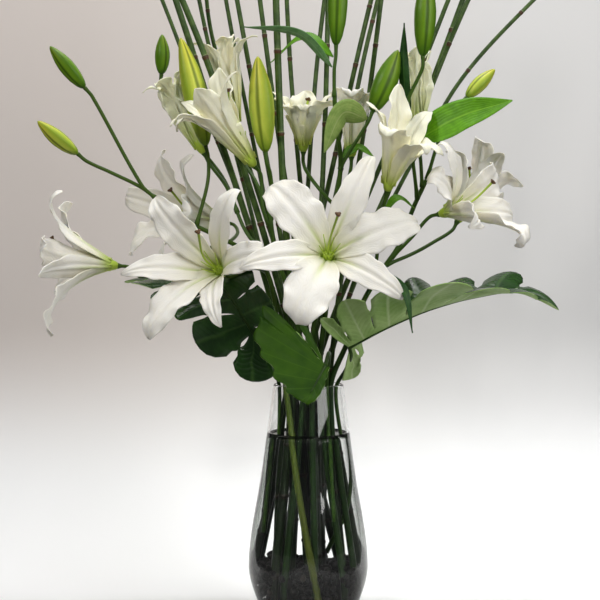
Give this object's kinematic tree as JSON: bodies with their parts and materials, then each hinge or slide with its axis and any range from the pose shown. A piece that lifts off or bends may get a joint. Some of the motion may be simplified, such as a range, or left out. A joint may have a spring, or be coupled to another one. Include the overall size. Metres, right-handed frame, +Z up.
{
  "type": "lilies in a vase",
  "caption": "White lilies with green buds, tall horsetail reeds and monstera leaves in a clear tapering glass vase with water over dark pebbles.",
  "frame": {"origin": "centre of the vase's foot, on the surface it stands on", "axes": "+Z up the vase and the stems; -Y is the side the largest lily faces; +X to the right of somebody who looks at that side"},
  "size_m": [0.6495, 0.2738, 0.9501],
  "materials": {
    "clear_glass": "polished, clear",
    "water": "still, clear",
    "dark_pebbles": "wet, smooth",
    "reed_green": "fresh, ridged, satin",
    "stem_green": "fresh, satin",
    "petal_white": "soft, slightly translucent",
    "bud_green": "fresh, satin",
    "leaf_green": "fresh, satin",
    "monstera_green": "fresh, glossy"
  },
  "bodies": {
    "root": {"vase": "clear_glass", "water": "water", "pebble_bed": "dark_pebbles", "reed_01": "reed_green", "reed_02": "reed_green", "reed_03": "reed_green", "reed_04": "reed_green", "reed_05": "reed_green", "reed_06": "reed_green", "reed_07": "reed_green", "reed_08": "reed_green", "reed_09": "reed_green", "reed_10": "reed_green", "reed_11": "reed_green", "reed_12": "reed_green", "reed_13": "reed_green", "reed_14": "reed_green", "reed_15": "reed_green", "reed_16": "reed_green", "reed_17": "reed_green", "reed_18": "reed_green", "reed_19": "reed_green", "stem_left": "stem_green", "stem_centre_left": "stem_green", "stem_front": "stem_green", "stem_centre_right": "stem_green", "stem_right": "stem_green", "lily_front": "petal_white", "lily_left_front": "petal_white", "lily_far_left": "petal_white", "lily_left_back": "petal_white", "lily_upper_left": "petal_white", "lily_top_left": "petal_white", "lily_small_left": "petal_white", "lily_centre": "petal_white", "lily_centre_back": "petal_white", "lily_right_cup": "petal_white", "lily_far_right": "petal_white", "lily_right_back": "petal_white", "lily_opening": "petal_white", "bud_far_left_upper": "bud_green", "bud_far_left_lower": "bud_green", "bud_left_small": "bud_green", "bud_left_large": "bud_green", "bud_centre_left": "bud_green", "bud_top_centre": "bud_green", "bud_centre_right": "bud_green", "bud_top_right": "bud_green", "bud_far_right": "bud_green", "leaf_top_long": "leaf_green", "leaf_top_short": "leaf_green", "leaf_centre_pale": "leaf_green", "leaf_right_dark": "leaf_green", "leaf_right_bright": "leaf_green", "leaf_centre_small": "leaf_green", "leaf_right_small": "leaf_green", "leaf_right_narrow": "leaf_green", "monstera_front": "monstera_green", "monstera_left": "monstera_green", "monstera_right": "monstera_green"}
  },
  "joints": []
}
